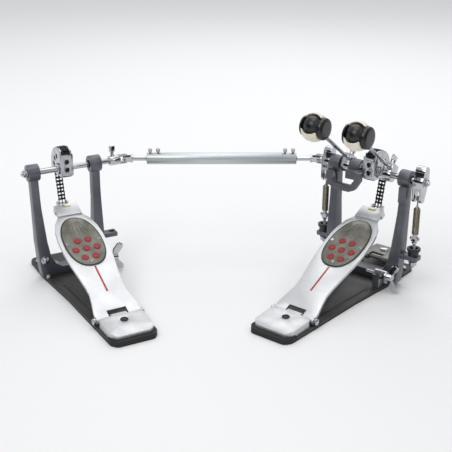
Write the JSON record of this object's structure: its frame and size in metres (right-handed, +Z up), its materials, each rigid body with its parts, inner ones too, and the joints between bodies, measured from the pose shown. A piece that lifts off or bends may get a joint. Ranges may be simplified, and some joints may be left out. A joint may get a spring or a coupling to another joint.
{
  "type": "double bass drum pedal",
  "caption": "Two chain-drive bass drum pedals joined by a telescoping driveshaft, with footboards, cams, felt beaters, return springs and a hoop clamp.",
  "frame": {"origin": "on the floor, at the centre of the whole object's box", "axes": "+X along the driveshaft to the right, +Y towards the drum, +Z up"},
  "size_m": [0.6891, 0.3633, 0.3122],
  "materials": {
    "plate_black": "textured black powder coat",
    "rubber_black": "ribbed black rubber",
    "cast_grey": "satin grey paint on cast metal",
    "bearing_steel": "ground steel rings",
    "polished_alloy": "polished cast aluminium",
    "shaft_alloy": "drawn and satin anodised",
    "chrome_steel": "bright chrome plate",
    "cam_chrome": "chrome plate over pressed steel",
    "spring_steel": "nickel plated spring wire",
    "black_plastic": "gloss moulded plastic",
    "pad_rubber": "translucent smoke grip pad",
    "felt_cream": "pressed wool felt",
    "chain_black": "black oxide roller chain"
  },
  "bodies": {
    "right_base": {"base_plate": "plate_black", "base_rubber": "rubber_black", "post_frame": "cast_grey", "loop_bracket": "cast_grey", "bearings": "bearing_steel", "heel_plate": "polished_alloy", "hinge_pin": "chrome_steel", "base_screws": "chrome_steel", "spring_cups": "black_plastic", "clamp_bracket": "cast_grey"},
    "right_board": {"footboard": "polished_alloy", "grip_pad": "pad_rubber", "toe_clamp": "polished_alloy"},
    "right_axle": {"axle": "chrome_steel", "cam": "cam_chrome", "beater_hub": "chrome_steel", "rocker": "chrome_steel", "chain_wrap": "chain_black"},
    "right_run": {"chain_run": "chain_black"},
    "right_links_1": {"chain_seg_1": "chain_black"},
    "right_links_2": {"chain_seg_2": "chain_black"},
    "right_spring_low": {"spring_rod": "chrome_steel"},
    "right_spring_top": {"spring": "spring_steel"},
    "right_beater": {"beater_rod": "chrome_steel"},
    "right_head": {"beater_core": "black_plastic", "beater_felt": "felt_cream"},
    "slave_axle": {"slave_axle": "chrome_steel", "slave_hub": "chrome_steel", "slave_rocker": "chrome_steel", "right_cross": "chrome_steel"},
    "slave_spring_low": {"slave_spring_rod": "chrome_steel"},
    "slave_spring_top": {"slave_spring": "spring_steel"},
    "slave_beater": {"slave_rod": "chrome_steel"},
    "slave_head": {"slave_core": "black_plastic", "slave_felt": "felt_cream"},
    "driveshaft": {"shaft_tube": "shaft_alloy", "shaft_screws": "chrome_steel", "right_shaft_rod": "chrome_steel"},
    "shaft_slider": {"left_shaft_rod": "chrome_steel"},
    "left_base": {"left_base_plate": "plate_black", "left_base_rubber": "rubber_black", "left_post_frame": "cast_grey", "left_bearings": "bearing_steel", "left_heel_plate": "polished_alloy", "left_hinge_pin": "chrome_steel", "left_base_screws": "chrome_steel"},
    "left_board": {"left_footboard": "polished_alloy", "left_grip_pad": "pad_rubber", "left_toe_clamp": "polished_alloy"},
    "left_axle": {"left_axle": "chrome_steel", "left_yoke": "chrome_steel", "left_cam": "cam_chrome", "left_chain_wrap": "chain_black", "left_cross": "chrome_steel"},
    "left_run": {"left_chain_run": "chain_black"},
    "left_links_1": {"left_chain_seg_1": "chain_black"},
    "left_links_2": {"left_chain_seg_2": "chain_black"},
    "left_screw": {"left_wing_screw": "chrome_steel"},
    "drum_clamp": {"clamp_jaw": "polished_alloy"},
    "clamp_screw": {"clamp_wing_screw": "chrome_steel"}
  },
  "joints": [
    {"name": "left_pedal_slide", "type": "slide", "parent": "right_base", "child": "left_base", "axis": [1, 0, 0], "range_m": [-0.06, 0.009]},
    {"name": "pedal_fold", "type": "hinge", "parent": "right_base", "child": "right_board", "pos_m": [0.12006, -0.09726, 0.0126], "axis": [-0.7771, 0.6293, 0], "range_deg": [0, 7.34], "stiffness_Nm_per_rad": 4, "springref_deg": -28.65},
    {"name": "right_axle_spin", "type": "hinge", "parent": "right_base", "child": "right_axle", "pos_m": [0.26166, 0.0776, 0.194], "axis": [-0.7771, 0.6293, 0], "range_deg": [0, 49.98]},
    {"name": "right_run_pivot", "type": "hinge", "parent": "right_board", "child": "right_run", "pos_m": [0.27508, 0.09417, 0.12316], "axis": [-0.7771, 0.6293, 0], "range_deg": [-18.34, 0]},
    {"name": "right_links_1_bend", "type": "hinge", "parent": "right_run", "child": "right_links_1", "pos_m": [0.28379, 0.10493, 0.18629], "axis": [-0.7771, 0.6293, 0], "range_deg": [0, 15.24], "deforming": ["chain_seg_1"]},
    {"name": "right_links_2_bend", "type": "hinge", "parent": "right_links_1", "child": "right_links_2", "pos_m": [0.2832, 0.10421, 0.20512], "axis": [-0.7771, 0.6293, 0], "range_deg": [0, 30.48], "deforming": ["chain_seg_2"]},
    {"name": "left_pedal_fold", "type": "hinge", "parent": "left_base", "child": "left_board", "pos_m": [-0.16011, -0.10294, 0.0126], "axis": [-0.8788, -0.4772, 0], "range_deg": [0, 7.34], "stiffness_Nm_per_rad": 4, "springref_deg": -28.65},
    {"name": "left_axle_spin", "type": "hinge", "parent": "left_base", "child": "left_axle", "pos_m": [-0.26747, 0.09479, 0.194], "axis": [-0.8788, -0.4772, 0], "range_deg": [0, 49.98]},
    {"name": "left_run_pivot", "type": "hinge", "parent": "left_board", "child": "left_run", "pos_m": [-0.27764, 0.11353, 0.12316], "axis": [-0.8788, -0.4772, 0], "range_deg": [-18.34, 0]},
    {"name": "left_links_1_bend", "type": "hinge", "parent": "left_run", "child": "left_links_1", "pos_m": [-0.28425, 0.12569, 0.18629], "axis": [-0.8788, -0.4772, 0], "range_deg": [0, 15.24], "deforming": ["left_chain_seg_1"]},
    {"name": "left_links_2_bend", "type": "hinge", "parent": "left_links_1", "child": "left_links_2", "pos_m": [-0.2838, 0.12488, 0.20512], "axis": [-0.8788, -0.4772, 0], "range_deg": [0, 30.48], "deforming": ["left_chain_seg_2"]},
    {"name": "right_spring_swing", "type": "hinge", "parent": "right_base", "child": "right_spring_low", "pos_m": [0.3269, 0.01833, 0.06], "axis": [-0.7771, 0.6293, 0], "range_deg": [-9.13, 0]},
    {"name": "right_spring_stretch", "type": "slide", "parent": "right_spring_low", "child": "right_spring_top", "axis": [0, 0, 1], "range_m": [0, 0.01515], "deforming": ["spring"]},
    {"name": "slave_axle_spin", "type": "hinge", "parent": "right_base", "child": "slave_axle", "pos_m": [0.22125, 0.11032, 0.194], "axis": [-0.7771, 0.6293, 0], "range_deg": [0, 49.98]},
    {"name": "slave_spring_swing", "type": "hinge", "parent": "right_base", "child": "slave_spring_low", "pos_m": [0.18779, 0.13098, 0.06], "axis": [-0.7771, 0.6293, 0], "range_deg": [-9.13, 0]},
    {"name": "slave_spring_stretch", "type": "slide", "parent": "slave_spring_low", "child": "slave_spring_top", "axis": [0, 0, 1], "range_m": [0, 0.01515], "deforming": ["slave_spring"]},
    {"name": "driveshaft_spin", "type": "hinge", "parent": "right_base", "child": "driveshaft", "pos_m": [0.00284, 0.14871, 0.194], "axis": [-1, 0, 0], "range_deg": [0, 49.98]},
    {"name": "shaft_slider_spin", "type": "hinge", "parent": "left_base", "child": "shaft_slider", "pos_m": [-0.16816, 0.14871, 0.194], "axis": [-1, 0, 0], "range_deg": [0, 49.98]},
    {"name": "right_beater_height", "type": "slide", "parent": "right_axle", "child": "right_beater", "axis": [-0.5117, -0.6319, 0.5821], "range_m": [-0.015, 0.018]},
    {"name": "right_head_turn", "type": "hinge", "parent": "right_beater", "child": "right_head", "pos_m": [0.21479, -0.02478, 0.28561], "axis": [-0.5117, -0.6319, 0.5821], "continuous": true},
    {"name": "slave_beater_height", "type": "slide", "parent": "slave_axle", "child": "slave_beater", "axis": [-0.5117, -0.6319, 0.5821], "range_m": [-0.015, 0.018]},
    {"name": "slave_head_turn", "type": "hinge", "parent": "slave_beater", "child": "slave_head", "pos_m": [0.15261, 0.02557, 0.28561], "axis": [-0.5117, -0.6319, 0.5821], "continuous": true},
    {"name": "drum_clamp_tilt", "type": "hinge", "parent": "right_base", "child": "drum_clamp", "pos_m": [0.27865, 0.09858, 0.025], "axis": [0.7771, -0.6293, 0], "range_deg": [-5, 14]},
    {"name": "clamp_screw_turn", "type": "hinge", "parent": "right_base", "child": "clamp_screw", "pos_m": [0.27116, 0.021, 0.028], "axis": [0.7771, -0.6293, 0], "continuous": true},
    {"name": "left_screw_turn", "type": "hinge", "parent": "left_base", "child": "left_screw", "pos_m": [-0.21155, 0.08191, 0.028], "axis": [0.8788, 0.4772, 0], "continuous": true}
  ],
  "couplings": [
    {"joint": "right_axle_spin", "follows": "pedal_fold", "ratio": 6.7853},
    {"joint": "right_run_pivot", "follows": "pedal_fold", "ratio": -2.4898},
    {"joint": "right_links_1_bend", "follows": "pedal_fold", "ratio": 2.0688},
    {"joint": "right_links_2_bend", "follows": "pedal_fold", "ratio": 4.1376},
    {"joint": "left_axle_spin", "follows": "left_pedal_fold", "ratio": 6.7853},
    {"joint": "left_run_pivot", "follows": "left_pedal_fold", "ratio": -2.4898},
    {"joint": "left_links_1_bend", "follows": "left_pedal_fold", "ratio": 2.0688},
    {"joint": "left_links_2_bend", "follows": "left_pedal_fold", "ratio": 4.1376},
    {"joint": "right_spring_swing", "follows": "pedal_fold", "ratio": -1.2401},
    {"joint": "right_spring_stretch", "follows": "pedal_fold", "m_per_rad": 0.11786},
    {"joint": "slave_axle_spin", "follows": "left_pedal_fold", "ratio": 6.7853},
    {"joint": "slave_spring_swing", "follows": "left_pedal_fold", "ratio": -1.2401},
    {"joint": "slave_spring_stretch", "follows": "left_pedal_fold", "m_per_rad": 0.11786},
    {"joint": "driveshaft_spin", "follows": "left_pedal_fold", "ratio": 6.7853},
    {"joint": "shaft_slider_spin", "follows": "left_pedal_fold", "ratio": 6.7853}
  ]
}
